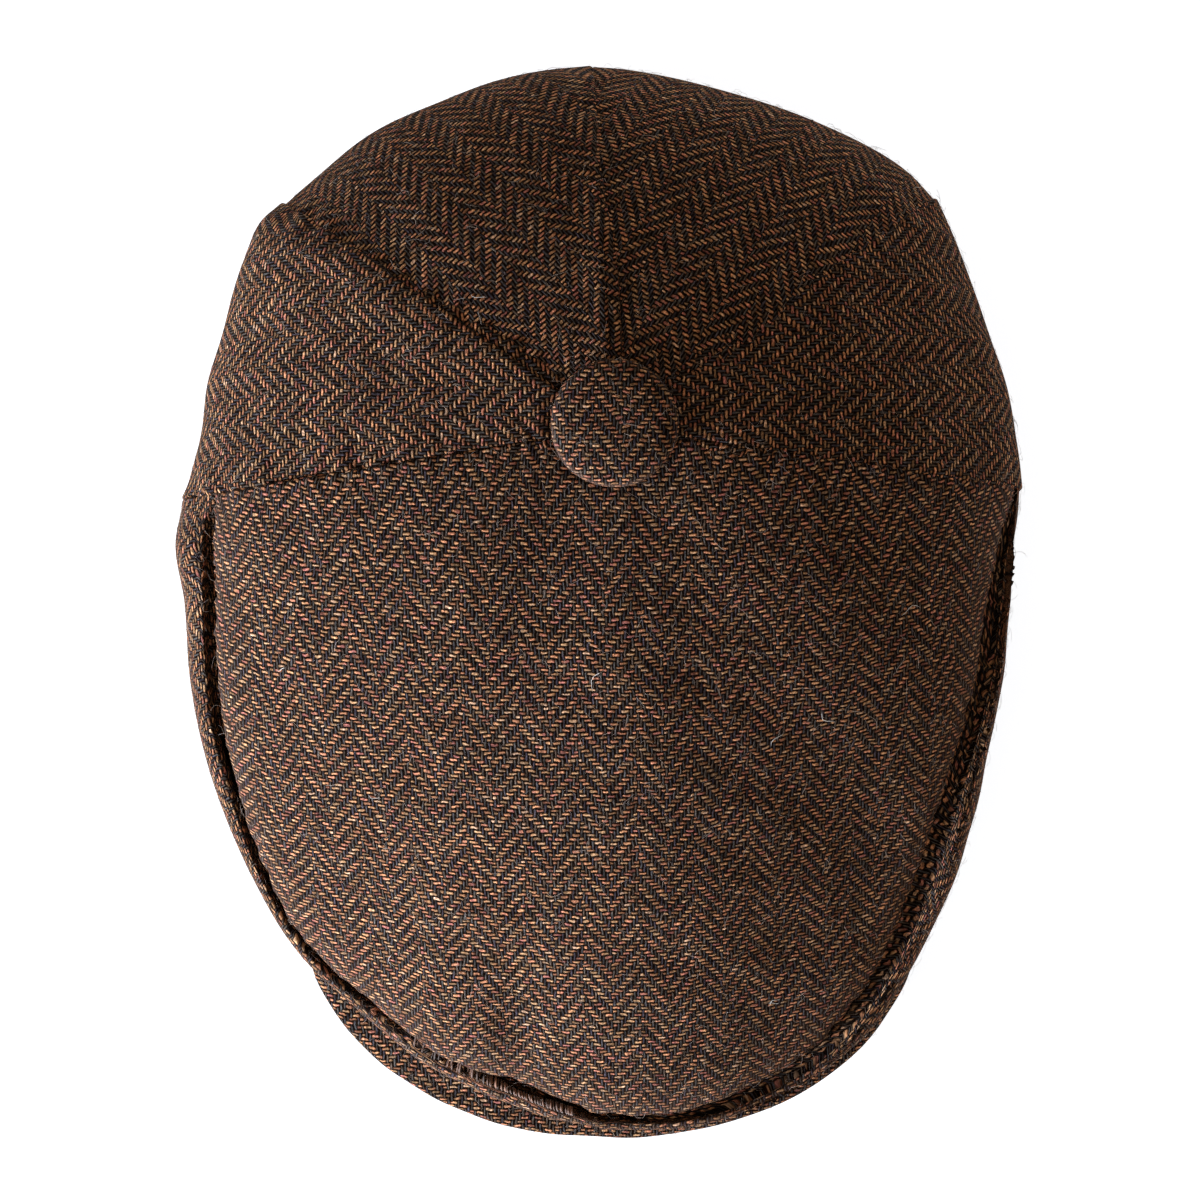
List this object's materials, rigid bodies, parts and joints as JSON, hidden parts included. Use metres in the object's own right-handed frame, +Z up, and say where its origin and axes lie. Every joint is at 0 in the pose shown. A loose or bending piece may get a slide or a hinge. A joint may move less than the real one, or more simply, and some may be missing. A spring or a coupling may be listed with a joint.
{
  "type": "flat cap",
  "caption": "Soft tweed flat cap: panelled crown under a covered button, side strips folded on to a short stiff peak, and an open head band to rest on or wear.",
  "frame": {"origin": "middle of the cap's footprint, on the surface that it rests on", "axes": "+Z up out of the crown, -Y forward to the tip of the peak, +X to the right as seen from above with the peak towards the viewer, which is the wearer's left; left and right in the nodes' names are as in that view"},
  "size_m": [0.225, 0.2874, 0.1115],
  "materials": {
    "crown_tweed": "brown and charcoal herringbone tweed, matt and slightly hairy",
    "strip_tweed": "the crown's tweed, with its ribs across the strip",
    "peak_tweed": "the crown's tweed, drawn tight over a stiff board",
    "button_tweed": "the crown's tweed, drawn tight over a button mould",
    "band_cloth": "plain dark brown woven band"
  },
  "bodies": {
    "root": {"front_panel": "crown_tweed", "side_panel_left": "crown_tweed", "side_panel_right": "crown_tweed", "back_panel_left": "crown_tweed", "back_panel_right": "crown_tweed", "side_strip_left": "strip_tweed", "side_strip_right": "strip_tweed", "peak": "peak_tweed", "button": "button_tweed", "head_band": "band_cloth"}
  },
  "joints": []
}
